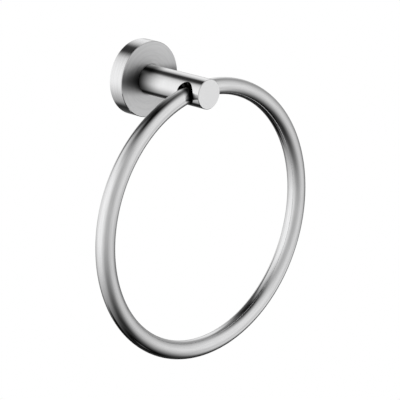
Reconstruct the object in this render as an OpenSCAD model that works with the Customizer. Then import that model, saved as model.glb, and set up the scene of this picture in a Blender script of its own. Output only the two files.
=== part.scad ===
// Wall-mounted towel ring: a closed ring of round bar through a round post on a round flange.
// The wall is the plane y = 0, the post points along -Y, the ring hangs towards -Z.
// The origin is the centre of the wall face, on the post's axis.
// A length called a reach is measured from the wall along the post.

/* [Flange] */
// Outer diameter of the flange
flange_d = 48.8; // [46:0.2:60]
// Reach of the flange's front face
flange_depth = 11; // [10.4:0.1:16]
// Inner diameter of the cup behind the flange
cup_d = 42; // [38:0.5:43]
// Thickness of the flange's front wall
floor_t = 2.7; // [2:0.1:3]
// Chamfer on the flange's sharp edges
flange_chamfer = 0.4; // [0.2:0.1:1]

/* [Post] */
// Diameter of the post
post_d = 19; // [17:0.5:26]
// Reach of the post's end face
post_reach = 63.5; // [62:0.5:90]
// Chamfer round the post's end face
post_chamfer = 0.35; // [0.2:0.05:1]
// Diameter of the spigot that enters the flange
spigot_d = 10; // [9:0.5:12]
// How much the flat on the spigot takes off its round
spigot_flat = 1.2; // [0.6:0.1:1.6]
// Gap all round between the spigot and its hole
spigot_gap = 0.05; // [0.02:0.01:0.15]
// How far the spigot stops short of the back of the flange's front wall
spigot_short = 0.2; // [0.1:0.1:0.6]

/* [Ring hole] */
// Reach of the axis of the hole in the post that the ring passes through
hole_reach = 52; // [48:0.5:52.5]
// Diameter of that hole
hole_d = 14; // [13:0.1:15]
// Height of its axis above the post's axis
hole_rise = 0.6; // [0:0.1:1]

/* [Ring] */
// Outer diameter of the ring
ring_od = 184; // [140:1:240]
// Diameter of the round bar
bar_d = 12; // [10.5:0.5:12.5]
// Diameter of the bar where it is drawn thinner, inside the post
neck_d = 10.5; // [8.5:0.1:11.5]
// Angle from the top of the ring to where the thinner stretch has faded out
neck_arc = 70; // [30:1:100]

/* [Ring pin] */
// Diameter of the pin through the ring
pin_d = 5; // [4:0.5:5.5]
// Length of the pin
pin_len = 24; // [20:1:26]
// How deep the pin's tip sits in the post's nose
pin_seat = 2.5; // [1.5:0.1:3]
// Gap all round between the pin and its holes
pin_gap = 0.05; // [0.02:0.01:0.1]

/* [Post threads] */
// Thread diameter of the screws inside the post
post_thread_d = 6; // [6:0.5:7]
// Length of the socket set screw that backs the pin
pin_screw_len = 8; // [6:1:8]
// Shank length of the bolt that pulls the post on to the flange
post_bolt_len = 14; // [10:1:16]
// Head diameter of that bolt
post_bolt_head_d = 10.5; // [9.5:0.5:12]
// Head height of that bolt
post_bolt_head_h = 3.3; // [2.5:0.1:3.5]
// Outer diameter of the lock washer
washer_d = 14; // [12:0.5:16]
// Thickness of the lock washer
washer_t = 1; // [0.6:0.1:1.2]
// Number of notches inside the lock washer
washer_notches = 8; // [6:1:12]
// Gap all round between a thread's crest and its hole
thread_gap = 0.05; // [0.02:0.01:0.1]

/* [Wall plate] */
// Gap all round between the wall plate and the flange's cup
plate_gap = 0.3; // [0.1:0.05:0.5]
// Height of the wall plate's rim
plate_t = 6; // [5.6:0.1:6.4]
// Thickness of the wall plate's base
plate_base_t = 2.5; // [1.5:0.1:2.8]
// Width of the wall plate's rim
plate_rim_w = 4.2; // [3.6:0.1:4.6]
// Distance between the two wall screws
wall_screw_pitch = 23; // [21:0.5:23]
// Width of the slots for the wall screws
wall_slot_w = 5.2; // [4:0.1:6]
// End-to-end length of the slots for the wall screws
wall_slot_len = 8; // [6.5:0.1:8.5]

/* [Flange screw] */
// Thread diameter of the socket set screw under the flange
flange_screw_d = 4; // [3:0.5:4.5]
// Length of that screw
flange_screw_len = 4; // [3.5:0.5:4.5]
// Reach of that screw's axis and of the groove that it bites in
groove_reach = 3.2; // [3:0.1:3.4]
// Depth of the groove round the wall plate
groove_depth = 1.6; // [1.4:0.1:2]
// Radius of the flat on the screw's point
point_r = 0.5; // [0.3:0.1:0.8]
// Gap between the screw's point and the groove
point_gap = 0.05; // [0.02:0.01:0.1]

/* [Hidden] */
$fn = 96;

// How far a cut runs past the face that it opens
past = 1;
// Hexagon sockets: width as a share of the thread's diameter, and depth as a share of the width
socket_share = 0.5;
socket_depth_share = 0.6;
// Button head: crown, shoulder and socket as shares of its diameter
crown_share = 0.6;
shoulder_share = 0.86;
head_socket_share = 0.38;
// Button head: height of its shoulder and of its widest line as shares of its height
shoulder_rise_share = 0.36;
widest_rise_share = 0.8;
// Flat point of the pin's set screw, and bevel of the pin, as shares of the diameter
flat_point_share = 0.8;
pin_bevel_share = 0.1;

// Flange and what sits in its cup
floor_back = flange_depth - floor_t;
plate_d = cup_d - 2 * plate_gap;
plate_pocket_d = plate_d - 2 * plate_rim_w;
groove_r = plate_d / 2 - groove_depth;
flange_screw_in = groove_r + point_r + point_gap;

// Post, from the spigot's end to the nose in front of the ring's hole
spigot_end = floor_back + spigot_short;
hole_front = hole_reach + hole_d / 2;
pin_tip = hole_front + pin_seat;
pin_back = pin_tip - pin_len;
// The threaded bore ends a little past the pin's back, so that the set screw meets the pin
thread_past_pin = 0.5;
thread_end = pin_back + thread_past_pin;
thread_bore_d = post_thread_d + 2 * thread_gap;
pin_bore_d = pin_d + 2 * pin_gap;

// Ring: radius of the bar's centre line, and the facets round the bar and round the ring
ring_r = (ring_od - bar_d) / 2;
ring_sides = 24;
ring_steps = 96;

// Lays what is drawn along +Z on the post's axis, which runs along -Y; drawn +Y becomes up
module along_post() {
    rotate([90, 0, 0]) children();
}

// Hexagon socket of width w, sunk from z = 0 towards +Z
module hex_socket(w) {
    translate([0, 0, -past])
        cylinder(d = w / cos(30), h = w * socket_depth_share + past, $fn = 6);
}

// Round of diameter d with one flat at its lower side
module d_outline(d, flat) {
    difference() {
        circle(d = d);
        translate([-d / 2, -d / 2 - past]) square([d, flat + past]);
    }
}

// Turned cup with a thick front wall, keyed for the post and tapped for the set screw below
module flange() {
    r = flange_d / 2;
    c = flange_chamfer;
    color("silver") along_post() difference() {
        rotate_extrude() polygon([
            [0, floor_back], [cup_d / 2, floor_back], [cup_d / 2, 0], [r - c / 2, 0], [r, c / 2],
            [r, flange_depth - c], [r - c, flange_depth], [0, flange_depth]
        ]);
        translate([0, 0, floor_back - past]) linear_extrude(floor_t + 2 * past)
            d_outline(spigot_d + 2 * spigot_gap, spigot_flat);
        translate([0, 0, groove_reach]) rotate([90, 0, 0])
            translate([0, 0, plate_d / 2]) cylinder(d = flange_screw_d + 2 * thread_gap, h = r);
    }
}

// Dished disc that is screwed to the wall, with a groove round its rim for the set screw
module wall_plate() {
    r = plate_d / 2;
    g = groove_depth;
    color("darkgray") along_post() difference() {
        rotate_extrude() polygon([
            [0, 0], [r, 0], [r, groove_reach - g], [groove_r, groove_reach], [r, groove_reach + g],
            [r, plate_t], [plate_pocket_d / 2, plate_t], [plate_pocket_d / 2, plate_base_t],
            [0, plate_base_t]
        ]);
        for (side = [-1, 1]) translate([side * wall_screw_pitch / 2, 0, -past]) wall_slot();
    }
}

// Cutter for one wall screw's slot, long along X
module wall_slot() {
    half = (wall_slot_len - wall_slot_w) / 2;
    h = plate_base_t + 2 * past;
    for (side = [-1, 1]) translate([side * half, 0, 0]) cylinder(d = wall_slot_w, h = h);
    translate([-half, -wall_slot_w / 2, 0]) cube([2 * half, wall_slot_w, h]);
}

// Socket set screw drawn along +Z, with its socket at z = 0 and a cone point of flat radius tip
module set_screw(d, len, tip) {
    difference() {
        rotate_extrude() polygon([
            [0, 0], [d / 2, 0], [d / 2, len - d / 2 + tip], [tip, len], [0, len]
        ]);
        hex_socket(d * socket_share);
    }
}

// Set screw under the flange, its point in the wall plate's groove
module flange_screw() {
    color("dimgray") translate([0, -groove_reach, -flange_screw_in - flange_screw_len])
        set_screw(flange_screw_d, flange_screw_len, point_r);
}

// Turned post with a keyed spigot, a threaded bore and the cross hole that the ring passes through
module post() {
    r = post_d / 2;
    c = post_chamfer;
    color("silver") along_post() difference() {
        union() {
            rotate_extrude() polygon([
                [0, flange_depth], [r, flange_depth], [r, post_reach - c], [r - c, post_reach],
                [0, post_reach]
            ]);
            translate([0, 0, spigot_end]) linear_extrude(flange_depth - spigot_end)
                d_outline(spigot_d, spigot_flat);
        }
        translate([0, 0, spigot_end - past])
            cylinder(d = thread_bore_d, h = thread_end - spigot_end + past);
        translate([0, 0, pin_back]) cylinder(d = pin_bore_d, h = pin_len);
        ring_hole();
    }
}

// Cutter for the hole that the ring passes through, along X
module ring_hole() {
    l = post_d + 2 * past;
    translate([-l / 2, hole_rise, hole_reach]) rotate([0, 90, 0]) cylinder(d = hole_d, h = l);
}

// Button-head bolt from inside the cup, pulling the post on to the flange
module post_bolt() {
    head_back = floor_back - washer_t - post_bolt_head_h;
    head_r = post_bolt_head_d / 2;
    h = post_bolt_head_h;
    color("dimgray") along_post() translate([0, 0, head_back]) difference() {
        union() {
            rotate_extrude() polygon([
                [0, 0], [head_r * crown_share, 0], [head_r * shoulder_share, h * shoulder_rise_share],
                [head_r, h * widest_rise_share], [head_r, h], [0, h]
            ]);
            cylinder(d = post_thread_d, h = h + post_bolt_len);
        }
        hex_socket(post_bolt_head_d * head_socket_share);
    }
}

// Lock washer with notches round its hole
module lock_washer() {
    hole_r = post_thread_d / 2 + 2 * thread_gap;
    notch_r = (hole_r + washer_d / 2) / 2;
    notch_w = hole_r * PI / washer_notches;
    color("gray") along_post() translate([0, 0, floor_back - washer_t])
        linear_extrude(washer_t) difference() {
            circle(d = washer_d);
            circle(r = hole_r);
            for (i = [0 : washer_notches - 1]) rotate(i * 360 / washer_notches)
                translate([0, -notch_w / 2]) square([notch_r, notch_w]);
        }
}

// Radius of the bar at angle a from the top of the ring
function bar_r(a) =
    bar_d / 2 - (bar_d - neck_d) / 2 * pow(cos(90 * min(1, abs(a) / neck_arc)), 2);

// Point at angle t round the bar, at angle a from the top of the ring, seen from the ring's centre
function ring_point(a, t) =
    let (r = bar_r(a), out = ring_r + r * cos(t)) [out * sin(a), out * cos(a), r * sin(t)];

// Closed ring of round bar, thinner towards the post, with a cross hole for the pin
module ring() {
    points = [
        for (i = [0 : ring_steps - 1]) for (j = [0 : ring_sides - 1])
            ring_point(180 - 360 * i / ring_steps, 360 * j / ring_sides)
    ];
    skin = [
        for (i = [0 : ring_steps - 1]) for (j = [0 : ring_sides - 1])
            let (
                next_i = (i + 1) % ring_steps,
                next_j = (j + 1) % ring_sides,
                a = i * ring_sides + j,
                b = i * ring_sides + next_j,
                c = next_i * ring_sides + j,
                d = next_i * ring_sides + next_j
            )
            each [[a, b, c], [b, d, c]]
    ];
    color("silver") along_post() translate([0, -ring_r, hole_reach]) difference() {
        polyhedron(points, skin);
        translate([0, ring_r, -bar_d / 2]) cylinder(d = pin_bore_d, h = bar_d);
    }
}

// Pin through the ring, with its tip seated in the post's nose
module ring_pin() {
    bevel = pin_d * pin_bevel_share;
    color("gray") along_post() rotate_extrude() polygon([
        [0, pin_back], [pin_d / 2 - bevel, pin_back], [pin_d / 2, pin_back + bevel],
        [pin_d / 2, pin_tip - bevel], [pin_d / 2 - bevel, pin_tip], [0, pin_tip]
    ]);
}

// Flat-pointed set screw that keeps the pin pressed into the nose
module pin_screw() {
    color("dimgray") along_post() translate([0, 0, pin_back - pin_screw_len])
        set_screw(post_thread_d, pin_screw_len, post_thread_d / 2 * flat_point_share);
}

flange();
wall_plate();
flange_screw();
post();
post_bolt();
lock_washer();
ring();
ring_pin();
pin_screw();
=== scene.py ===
"""Wall-mounted towel ring in brushed steel, with a smooth ring, studio light and the photograph's camera.

Everything is in metres in the part's own frame: the wall is y = 0, the post points along -Y, +Z is up.
"""

import math

import bmesh
import bpy
from mathutils import Matrix, Vector


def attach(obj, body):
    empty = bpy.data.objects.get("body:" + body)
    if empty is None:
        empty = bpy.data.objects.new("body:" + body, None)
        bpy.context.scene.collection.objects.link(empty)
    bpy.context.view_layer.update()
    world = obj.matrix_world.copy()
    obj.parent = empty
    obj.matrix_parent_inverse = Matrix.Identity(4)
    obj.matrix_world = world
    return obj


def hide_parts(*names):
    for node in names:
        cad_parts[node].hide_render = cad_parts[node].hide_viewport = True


MM = 0.001

# Camera that fits the photograph's edges: angles in degrees, distance in metres
CAMERA_AIM = Vector((0.0, -0.050, -0.080))
CAMERA_AZIMUTH = -43.712
CAMERA_ELEVATION = 22.560
CAMERA_ROLL = -4.338
CAMERA_YAW = 0.0569
CAMERA_PITCH = 0.3044
CAMERA_DISTANCE = 1.1839
CAMERA_FOCAL_PX = 1867.66
IMAGE_PX = 400
SENSOR_MM = 36.0

# Ring: sizes as in the part's source
RING_CENTRE = Vector((0.0, -0.052, -0.086))
RING_RADIUS = 0.086
BAR_RADIUS = 0.006
NECK_RADIUS = 0.00525
NECK_ARC = 70.0
PIN_HOLE_RADIUS = 0.00255
RING_STEPS = 384
BAR_SIDES = 64
HOLE_SIDES = 48
SHARP_ANGLE = 40.0

# Floor: far enough below the ring to stay out of the photograph's frame
FLOOR_Z = -1.45
FLOOR_RADIUS = 1.9
FLOOR_FADE = 0.7
FLOOR_COLOR = (0.86, 0.86, 0.86, 1.0)
# Added for the camera alone, so that the floor looks pale under the dark cards and still lights nothing
FLOOR_GLOW = 0.28

# Studio round the object: a white backdrop on all sides, dark cards before it and a few soft boxes. Each is
# its middle and half width round the object, where 0 is in front and 90 to the right, its bottom and top, the
# soft edge at its sides, bottom and top, all in degrees, and the share of white that it takes or adds
DARK_CARDS = {
    "floor": (0, 200, -100, -40, 10, 20, 40, 1.0),
    "ceiling": (0, 200, 57, 100, 10, 27, 10, 1.0),
    "ceiling_behind": (167, 23, 0, 100, 15, 12, 10, 0.95),
    "front_left": (-38, 37, -80, 53, 30, 15, 20, 0.4),
    "right_strip": (110, 37, -27, 85, 35, 3, 5, 0.6),
    "low_left": (-30, 35, -65, -40, 30, 5, 40, 0.85),
    "low_behind": (-167, 25, -67, -45, 10, 10, 3, 1.0),
    "low_back_right": (135, 55, -67, -22, 15, 15, 20, 0.85),
    "low_back_deep": (143, 40, -90, -42, 12, 12, 12, 0.4),
}
SOFT_BOXES = {
    "left": (-100, 45, -40, 90, 15, 45, 10, 0.2),
    "low_right": (67, 20, -55, -30, 5, 10, 3, 0.6),
    "behind_top": (155, 35, 0, 40, 15, 12, 3, 1.15),
}

STEEL = (0.702, 0.702, 0.706, 1.0)
ZINC = (0.60, 0.61, 0.62, 1.0)
HARD_STEEL = (0.30, 0.30, 0.305, 1.0)

# Brushed lines: steps of the noise per millimetre across them, then steps round the post or the ring
TURNED_FINE = (7.0, 3.0)
TURNED_COARSE = (0.9, 1.2)
RING_FINE = (5.0, 16.0)
RING_COARSE = (1.1, 8.0)
# How much closer the turned lines lie along the post's axis than across a face
AXIS_STRETCH = 1.37
# Noise values of the darkest and lightest coarse lines
COARSE_RANGE = (0.3, 0.7)
# Fine lines' share of the brushing; the rest is coarse
FINE_SHARE = 0.5
# How much roughness the lines and the faint smudges add at most, and the smudges' steps per millimetre
LINE_ROUGHNESS = 0.10
SMUDGE_ROUGHNESS = 0.04
SMUDGE_SCALE = 0.09
LINE_BUMP = 0.2
LINE_DEPTH_MM = 0.006

# Plated and hardened metal: steps per millimetre of its blotches, its spread of roughness and its bump
BLOTCH_SCALE = 0.35
GRAIN_ROUGHNESS = 0.2
GRAIN_BUMP = 0.3
GRAIN_DEPTH_MM = 0.02

# Flat ends and radius of the turned pieces, in millimetres; what lies within FLAT_MM of a flat end
# belongs to it
FACE_MM = 11.0
POST_RADIUS_MM = 9.5
POST_END_MM = 63.5
FLAT_MM = 0.1

# Painted shade on the flange's face, a dark oval round the post's root: centre and half sizes in
# millimetres, tilt in degrees, share of the half size at which it starts to fade, and its darkest shade;
# then the painted shade's fade that starts just inside the post
OVAL_CENTRE = (8.2, -2.2)
OVAL_HALF = (63.3, 11.3)
OVAL_TILT = 12.7
OVAL_START = 0.25
OVAL_LOW = 0.11
FACE_FADE = (-1.0, 1.3)

# Painted shade at the post's root, dark near the flange's face: distances from the face between which it
# fades on the side and on top, the darkest shade on top, how much slower the side's shade fades towards the
# top, and where the top begins, as shares of the post's radius
SIDE_FADE = (-1.0, 19.8)
TOP_FADE = (6.0, 18.0)
TOP_LOW = 0.08
TOP_SLOWER = 0.4
TOP_LIFT = (0.6, 0.85)

# Painted shade inside the ring's hole, apart from the chamfer in the last millimetre, and the end face
# painted lighter
HOLE_PAINTED_SHADE = 0.08
HOLE_DEPTH_MM = 0.05
CHAMFER_MM = 1.0
END_PAINTED_LIGHT = 1.22

# Painted shade on the stretch of the ring's bar by the post: distances from the post's axis between which it
# fades, and its darkest shade
NECK_FADE = (10.9, 14.9)
NECK_LOW = 0.02


# Nodes


def add(tree, kind, inputs=(), **settings):
    """A new node; inputs maps a socket's name or number to a value or to another node's output."""
    node = tree.nodes.new(kind)
    for key, value in settings.items():
        setattr(node, key, value)
    for key, value in dict(inputs).items():
        if isinstance(value, bpy.types.NodeSocket):
            tree.links.new(value, node.inputs[key])
        else:
            node.inputs[key].default_value = value
    return node


def calc(tree, operation, *values):
    """Output of a Math node."""
    return add(tree, "ShaderNodeMath", dict(enumerate(values)), operation=operation).outputs[0]


def step(tree, value, start, end, low=0.0, high=1.0):
    """low up to start and high from end on, with a smooth rise between."""
    return add(
        tree,
        "ShaderNodeMapRange",
        {0: value, 1: start, 2: end, 3: low, 4: high},
        interpolation_type="SMOOTHSTEP",
    ).outputs[0]


def choose(tree, condition, other, value):
    """value where condition is 1, other where it is 0."""
    return add(tree, "ShaderNodeMix", {0: condition, 2: other, 3: value}).outputs[0]


def length2(tree, a, b):
    """Length of the flat vector a, b."""
    return calc(tree, "SQRT", calc(tree, "MULTIPLY_ADD", a, a, calc(tree, "MULTIPLY", b, b)))


def combine(tree, x, y, z):
    """The vector x, y, z."""
    return add(tree, "ShaderNodeCombineXYZ", {0: x, 1: y, 2: z}).outputs[0]


def noise(tree, vector, scale, detail=3.0, roughness=0.6):
    """Noise between 0 and 1."""
    return add(
        tree,
        "ShaderNodeTexNoise",
        {"Vector": vector, "Scale": scale, "Detail": detail, "Roughness": roughness},
    ).outputs[0]


def new_tree(name):
    """A new material and its node tree, empty but for the output node."""
    material = bpy.data.materials.new(name)
    material.use_nodes = True
    material.node_tree.nodes.clear()
    return material, material.node_tree


# Light


def soft_edge(tree, angle, middle, half, outside, inside):
    """A smooth step of an angle in radians, at middle degrees and half degrees wide to each side."""
    return step(tree, angle, math.radians(middle - half), math.radians(middle + half), outside, inside)


def window(tree, turn, height, row):
    """The last number of a card's or box's row within its bounds, which falls to 0 outside them."""
    middle, half, bottom, top, side_edge, bottom_edge, top_edge, amount = row
    away = calc(tree, "COSINE", calc(tree, "SUBTRACT", turn, math.radians(middle)))
    across = soft_edge(tree, calc(tree, "ARCCOSINE", away), half, side_edge, 1.0, 0.0)
    above = soft_edge(tree, height, bottom, bottom_edge, 0.0, 1.0)
    below = soft_edge(tree, height, top, top_edge, 1.0, 0.0)
    inside = calc(tree, "MULTIPLY", across, calc(tree, "MULTIPLY", above, below))
    return calc(tree, "MULTIPLY", inside, amount)


def make_world():
    """A white backdrop all round; the object also sees the dark cards and soft boxes."""
    world = bpy.data.worlds.new("studio")
    bpy.context.scene.world = world
    world.use_nodes = True
    tree = world.node_tree
    tree.nodes.clear()
    direction = add(
        tree,
        "ShaderNodeSeparateXYZ",
        {0: add(tree, "ShaderNodeTexCoord").outputs["Generated"]},
    ).outputs
    height = calc(tree, "ARCSINE", direction[2])
    turn = calc(tree, "ARCTAN2", direction[0], calc(tree, "MULTIPLY", direction[1], -1.0))
    light = 1.0
    for box in SOFT_BOXES.values():
        light = calc(tree, "ADD", light, window(tree, turn, height, box))
    for card in DARK_CARDS.values():
        left = calc(tree, "SUBTRACT", 1.0, window(tree, turn, height, card))
        light = calc(tree, "MULTIPLY", light, left)
    seen = add(tree, "ShaderNodeLightPath").outputs["Is Camera Ray"]
    strength = choose(tree, seen, light, 1.0)
    backdrop = add(
        tree, "ShaderNodeBackground", {"Color": (1.0, 1.0, 1.0, 1.0), "Strength": strength}
    )
    add(tree, "ShaderNodeOutputWorld", {0: backdrop.outputs[0]})


def make_floor():
    """A plain pale disc far below the ring, which fades into the white towards its rim."""
    mesh = bpy.data.meshes.new("floor")
    bm = bmesh.new()
    bmesh.ops.create_circle(bm, cap_ends=True, segments=96, radius=FLOOR_RADIUS)
    bm.to_mesh(mesh)
    bm.free()
    floor = bpy.data.objects.new("floor", mesh)
    bpy.context.collection.objects.link(floor)
    floor.location.z = FLOOR_Z
    floor.visible_glossy = False
    material, tree = new_tree("pale_floor")
    position = add(tree, "ShaderNodeTexCoord").outputs["Object"]
    radius = add(tree, "ShaderNodeVectorMath", {0: position}, operation="LENGTH").outputs["Value"]
    fade = step(tree, radius, FLOOR_FADE, FLOOR_RADIUS, 1.0, 0.0)
    pale = add(tree, "ShaderNodeBsdfDiffuse", {"Color": FLOOR_COLOR})
    seen = add(tree, "ShaderNodeLightPath").outputs["Is Camera Ray"]
    glow = add(tree, "ShaderNodeEmission", {"Strength": calc(tree, "MULTIPLY", seen, FLOOR_GLOW)})
    both = add(tree, "ShaderNodeAddShader", {0: pale.outputs[0], 1: glow.outputs[0]})
    clear = add(tree, "ShaderNodeBsdfTransparent")
    mix = add(tree, "ShaderNodeMixShader", {0: fade, 1: clear.outputs[0], 2: both.outputs[0]})
    add(tree, "ShaderNodeOutputMaterial", {0: mix.outputs[0]})
    mesh.materials.append(material)


def make_camera():
    """The camera that sees the object as the photograph does."""
    az, el = math.radians(CAMERA_AZIMUTH), math.radians(CAMERA_ELEVATION)
    yaw, pitch = math.radians(CAMERA_YAW), math.radians(CAMERA_PITCH)
    roll = math.radians(CAMERA_ROLL)
    back = Vector((math.sin(az) * math.cos(el), -math.cos(az) * math.cos(el), math.sin(el)))
    right = Vector((math.cos(az), math.sin(az), 0.0))
    up = back.cross(right)
    x_axis = math.cos(yaw) * right - math.sin(yaw) * back
    z_axis = math.sin(yaw) * right + math.cos(yaw) * back
    y_axis = math.cos(pitch) * up + math.sin(pitch) * z_axis
    z_axis = -math.sin(pitch) * up + math.cos(pitch) * z_axis
    x_axis, y_axis = (
        math.cos(roll) * x_axis + math.sin(roll) * y_axis,
        -math.sin(roll) * x_axis + math.cos(roll) * y_axis,
    )
    data = bpy.data.cameras.new("camera")
    data.sensor_width = SENSOR_MM
    data.lens = CAMERA_FOCAL_PX / IMAGE_PX * SENSOR_MM
    camera = bpy.data.objects.new("camera", data)
    bpy.context.collection.objects.link(camera)
    matrix = Matrix((x_axis, y_axis, z_axis)).transposed().to_4x4()
    matrix.translation = CAMERA_AIM + CAMERA_DISTANCE * back
    camera.matrix_world = matrix
    bpy.context.scene.camera = camera


# Materials


def metal(tree, color, roughness, height, bump, depth_mm, **more):
    """The material's metal shader, with the bump of height; more goes on the shader's own sockets."""
    normal = add(
        tree,
        "ShaderNodeBump",
        {"Strength": bump, "Distance": depth_mm * MM, "Height": height},
    ).outputs[0]
    inputs = {"Base Color": color, "Roughness": roughness, "Metallic": 1.0, "Normal": normal}
    shader = add(tree, "ShaderNodeBsdfPrincipled", {**inputs, **more})
    add(tree, "ShaderNodeOutputMaterial", {0: shader.outputs[0]})


def tint(tree, amount, color, spread):
    """color, darker by half of spread where amount is 0 and lighter by as much where it is 1."""
    dark, light = (tuple(c * share for c in color[:3]) + (1.0,) for share in (1 - spread / 2, 1 + spread / 2))
    return add(tree, "ShaderNodeMix", {6: dark, 7: light, 0: amount}, data_type="RGBA").outputs[2]


def shaded(tree, color, shade):
    """color times the painted shade, a number between 0 and 1."""
    return add(tree, "ShaderNodeVectorMath", {0: color, "Scale": shade}, operation="SCALE").outputs[0]


def position_mm(tree):
    """Object position in millimetres, as its three numbers."""
    scaled = add(
        tree,
        "ShaderNodeVectorMath",
        {0: add(tree, "ShaderNodeTexCoord").outputs["Object"], 1: (1 / MM,) * 3},
        operation="MULTIPLY",
    ).outputs[0]
    return scaled, add(tree, "ShaderNodeSeparateXYZ", {0: scaled}).outputs


def brushed(tree, scaled, fine, coarse, shade, tangent, roughness, anisotropic, line_tint):
    """Brushed steel with fine and coarse lines, a few faint smudges and a painted shade between 0 and 1."""
    fine_lines = noise(tree, fine, 1.0, 4.0, 0.65)
    coarse_lines = step(tree, noise(tree, coarse, 1.0, 2.0, 0.5), *COARSE_RANGE)
    smudges = noise(tree, scaled, SMUDGE_SCALE, 3.0, 0.55)
    lines = calc(
        tree, "MULTIPLY_ADD", fine_lines, FINE_SHARE, calc(tree, "MULTIPLY", coarse_lines, 1 - FINE_SHARE)
    )
    smoothest = calc(tree, "SUBTRACT", roughness, (LINE_ROUGHNESS + SMUDGE_ROUGHNESS) / 2)
    rough = calc(
        tree,
        "MULTIPLY_ADD",
        lines,
        LINE_ROUGHNESS,
        calc(tree, "MULTIPLY_ADD", smudges, SMUDGE_ROUGHNESS, smoothest),
    )
    color = shaded(tree, tint(tree, lines, STEEL, line_tint), shade)
    metal(
        tree, color, rough, lines, LINE_BUMP, LINE_DEPTH_MM, Anisotropic=anisotropic, Tangent=tangent
    )


def face_painted_shade(tree, x, y, z, radius):
    """Painted shade on the flange's face: a dark soft oval round the post's root."""
    cos_tilt = math.cos(math.radians(OVAL_TILT))
    sin_tilt = math.sin(math.radians(OVAL_TILT))
    right = calc(tree, "SUBTRACT", x, OVAL_CENTRE[0])
    up = calc(tree, "SUBTRACT", z, OVAL_CENTRE[1])
    long_half, short_half = OVAL_HALF
    along, across = (
        calc(tree, "MULTIPLY_ADD", right, right_share, calc(tree, "MULTIPLY", up, up_share))
        for right_share, up_share in (
            (-cos_tilt / long_half, sin_tilt / long_half),
            (sin_tilt / short_half, cos_tilt / short_half),
        )
    )
    oval = step(tree, length2(tree, along, across), OVAL_START, 1.0, OVAL_LOW, 1.0)
    root = step(tree, radius, *(POST_RADIUS_MM + distance for distance in FACE_FADE))
    on_face = calc(tree, "LESS_THAN", y, FLAT_MM - FACE_MM)
    return choose(tree, on_face, 1.0, calc(tree, "MULTIPLY", oval, root))


def post_painted_shade_and_light(tree, x, y, z, radius):
    """Painted shade at the post's root that fades along the post, painted shade inside the ring's hole and an
    end face painted lighter.
    """
    lift = calc(tree, "MAXIMUM", calc(tree, "DIVIDE", z, POST_RADIUS_MM), 0.0)
    out = calc(tree, "SUBTRACT", calc(tree, "MULTIPLY", y, -1.0), FACE_MM)
    slower = calc(tree, "MULTIPLY_ADD", calc(tree, "MULTIPLY", lift, lift), -TOP_SLOWER, 1.0)
    side = step(tree, calc(tree, "MULTIPLY", out, slower), *SIDE_FADE)
    top = step(tree, out, *TOP_FADE, TOP_LOW, 1.0)
    root = choose(tree, step(tree, lift, *TOP_LIFT), side, top)
    in_hole = calc(
        tree,
        "MULTIPLY",
        calc(tree, "LESS_THAN", radius, POST_RADIUS_MM - HOLE_DEPTH_MM),
        calc(tree, "GREATER_THAN", y, CHAMFER_MM - POST_END_MM),
    )
    at_end = calc(tree, "LESS_THAN", y, FLAT_MM - POST_END_MM)
    return choose(tree, at_end, choose(tree, in_hole, root, HOLE_PAINTED_SHADE), END_PAINTED_LIGHT)


def turned_steel(name, end_mm, shade_of, roughness, end_roughness, anisotropic, line_tint):
    """Steel brushed in circles round the post's axis, with its own roughness on its flat end at -end_mm."""
    material, tree = new_tree(name)
    scaled, (x, y, z) = position_mm(tree)
    radius = length2(tree, x, z)
    across = calc(tree, "MULTIPLY_ADD", y, -AXIS_STRETCH, radius)
    safe_radius = calc(tree, "MAXIMUM", radius, 0.5)
    cos_turn = calc(tree, "DIVIDE", x, safe_radius)
    sin_turn = calc(tree, "DIVIDE", z, safe_radius)
    fine, coarse = (
        combine(
            tree,
            calc(tree, "MULTIPLY", across, per_mm),
            calc(tree, "MULTIPLY", cos_turn, per_turn),
            calc(tree, "MULTIPLY", sin_turn, per_turn),
        )
        for per_mm, per_turn in (TURNED_FINE, TURNED_COARSE)
    )
    # shade_of paints the piece's shade, and on the post also a lighter end face
    shade = shade_of(tree, x, y, z, radius)
    tangent = combine(tree, z, 0.0, calc(tree, "MULTIPLY", x, -1.0))
    at_end = calc(tree, "LESS_THAN", y, FLAT_MM - end_mm)
    rough = choose(tree, at_end, roughness, end_roughness)
    brushed(tree, scaled, fine, coarse, shade, tangent, rough, anisotropic, line_tint)
    return material


def ring_steel(name, roughness, anisotropic, line_tint):
    """Steel brushed along the ring's bar, with a painted shade where it runs into the post."""
    material, tree = new_tree(name)
    scaled, (x, y, z) = position_mm(tree)
    up = calc(tree, "SUBTRACT", z, RING_CENTRE.z / MM)
    out = calc(tree, "SUBTRACT", length2(tree, x, up), RING_RADIUS / MM)
    forward = calc(tree, "SUBTRACT", RING_CENTRE.y / MM, y)
    round_ring = calc(tree, "ARCTAN2", x, calc(tree, "MULTIPLY", up, -1.0))
    fine, coarse = (
        combine(
            tree,
            calc(tree, "MULTIPLY", out, per_mm),
            calc(tree, "MULTIPLY", forward, per_mm),
            calc(tree, "MULTIPLY", round_ring, per_radian),
        )
        for per_mm, per_radian in (RING_FINE, RING_COARSE)
    )
    # Painted shade on the bar where it runs into the post
    shade = step(tree, length2(tree, x, z), *NECK_FADE, NECK_LOW, 1.0)
    tangent = combine(tree, up, 0.0, calc(tree, "MULTIPLY", x, -1.0))
    brushed(tree, scaled, fine, coarse, shade, tangent, roughness, anisotropic, line_tint)
    return material


def plain_metal(name, color, roughness, grain_scale, grain_tint):
    """Plated or hardened metal with a fine grain and faint blotches."""
    material, tree = new_tree(name)
    scaled, _ = position_mm(tree)
    grain = noise(tree, scaled, grain_scale, 4.0, 0.6)
    blotches = noise(tree, scaled, BLOTCH_SCALE, 3.0, 0.5)
    mixed = calc(tree, "MULTIPLY_ADD", grain, 0.5, calc(tree, "MULTIPLY", blotches, 0.5))
    rough = calc(tree, "MULTIPLY_ADD", mixed, GRAIN_ROUGHNESS, roughness - GRAIN_ROUGHNESS / 2)
    metal(tree, tint(tree, mixed, color, grain_tint), rough, grain, GRAIN_BUMP, GRAIN_DEPTH_MM)
    return material


# Ring


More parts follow.
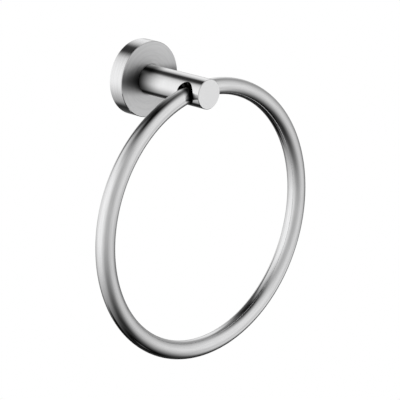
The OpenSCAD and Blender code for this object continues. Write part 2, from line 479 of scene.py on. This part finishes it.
def bar_radius(angle):
    """Radius of the bar at an angle in radians from the top of the ring, thinner in the post."""
    reach = min(1.0, abs(math.degrees(angle)) / NECK_ARC)
    return BAR_RADIUS - (BAR_RADIUS - NECK_RADIUS) * math.cos(math.pi / 2 * reach) ** 2


def make_ring(material):
    """The closed ring as one smooth swept skin, with the cross hole for its pin."""
    bm = bmesh.new()
    loops = []
    for i in range(RING_STEPS):
        angle = math.pi - 2 * math.pi * i / RING_STEPS
        radius = bar_radius(angle)
        outward = Vector((math.sin(angle), 0.0, math.cos(angle)))
        loop = []
        for j in range(BAR_SIDES):
            turn = 2 * math.pi * j / BAR_SIDES
            offset = outward * math.cos(turn) + Vector((0.0, -math.sin(turn), 0.0))
            loop.append(bm.verts.new(RING_CENTRE + outward * RING_RADIUS + offset * radius))
        loops.append(loop)
    for i in range(RING_STEPS):
        here, there = loops[i], loops[(i + 1) % RING_STEPS]
        for j in range(BAR_SIDES):
            k = (j + 1) % BAR_SIDES
            bm.faces.new((here[j], here[k], there[k], there[j]))
    bmesh.ops.recalc_face_normals(bm, faces=bm.faces)
    mesh = bpy.data.meshes.new("ring_bar")
    bm.to_mesh(mesh)
    bm.free()
    ring = bpy.data.objects.new("ring_bar", mesh)
    bpy.context.collection.objects.link(ring)
    cut_hole(ring)
    mesh = ring.data
    mesh.shade_smooth()
    mesh.set_sharp_from_angle(angle=math.radians(SHARP_ANGLE))
    mesh.materials.clear()
    mesh.materials.append(material)
    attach(ring, "root")
    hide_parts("ring")


def cut_hole(ring):
    """Cuts the cross hole for the pin through the thinned stretch, along the post's axis."""
    bm = bmesh.new()
    bmesh.ops.create_cone(
        bm,
        cap_ends=True,
        segments=HOLE_SIDES,
        radius1=PIN_HOLE_RADIUS,
        radius2=PIN_HOLE_RADIUS,
        depth=4 * BAR_RADIUS,
        matrix=Matrix.Translation((0.0, RING_CENTRE.y, 0.0)) @ Matrix.Rotation(math.pi / 2, 4, "X"),
    )
    mesh = bpy.data.meshes.new("cutter")
    bm.to_mesh(mesh)
    bm.free()
    cutter = bpy.data.objects.new("cutter", mesh)
    bpy.context.collection.objects.link(cutter)
    modifier = ring.modifiers.new("hole", "BOOLEAN")
    modifier.object = cutter
    modifier.operation = "DIFFERENCE"
    modifier.solver = "EXACT"
    bpy.context.view_layer.update()
    cut = bpy.data.meshes.new_from_object(
        ring.evaluated_get(bpy.context.evaluated_depsgraph_get())
    )
    ring.modifiers.clear()
    ring.data = cut
    bpy.data.objects.remove(cutter)


def dress(node, material):
    """Gives a CAD node's object a new material."""
    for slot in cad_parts[node].material_slots:
        slot.material = material


# Scene

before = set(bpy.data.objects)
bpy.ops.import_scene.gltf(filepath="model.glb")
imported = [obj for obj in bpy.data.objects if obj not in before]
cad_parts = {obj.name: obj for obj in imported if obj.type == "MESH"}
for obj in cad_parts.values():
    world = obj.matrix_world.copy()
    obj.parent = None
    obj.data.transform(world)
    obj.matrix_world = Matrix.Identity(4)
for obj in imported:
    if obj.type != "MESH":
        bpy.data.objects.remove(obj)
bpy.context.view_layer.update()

scene = bpy.context.scene
scene.view_settings.view_transform = "Standard"

make_camera()
make_world()
make_floor()

flange_steel = turned_steel(
    "flange_brushed",
    FACE_MM,
    face_painted_shade,
    roughness=0.11,
    end_roughness=0.44,
    anisotropic=0.10,
    line_tint=0.20,
)
post_steel = turned_steel(
    "post_brushed",
    POST_END_MM,
    post_painted_shade_and_light,
    roughness=0.09,
    end_roughness=0.24,
    anisotropic=0.08,
    line_tint=0.06,
)
dress("flange", flange_steel)
dress("post", post_steel)
zinc = plain_metal("zinc_plate", ZINC, roughness=0.38, grain_scale=3.0, grain_tint=0.25)
hard = plain_metal("hardened_steel", HARD_STEEL, roughness=0.34, grain_scale=5.0, grain_tint=0.3)
for name in ("wall_plate", "lock_washer"):
    dress(name, zinc)
for name in ("flange_screw", "post_bolt", "ring_pin", "pin_screw"):
    dress(name, hard)
# Left out of the reflections, so that the post's bright band runs on to its root
for name in ("flange", "wall_plate", "flange_screw", "lock_washer", "post_bolt"):
    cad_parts[name].visible_glossy = False
make_ring(ring_steel("ring_brushed", roughness=0.13, anisotropic=0.16, line_tint=0.14))
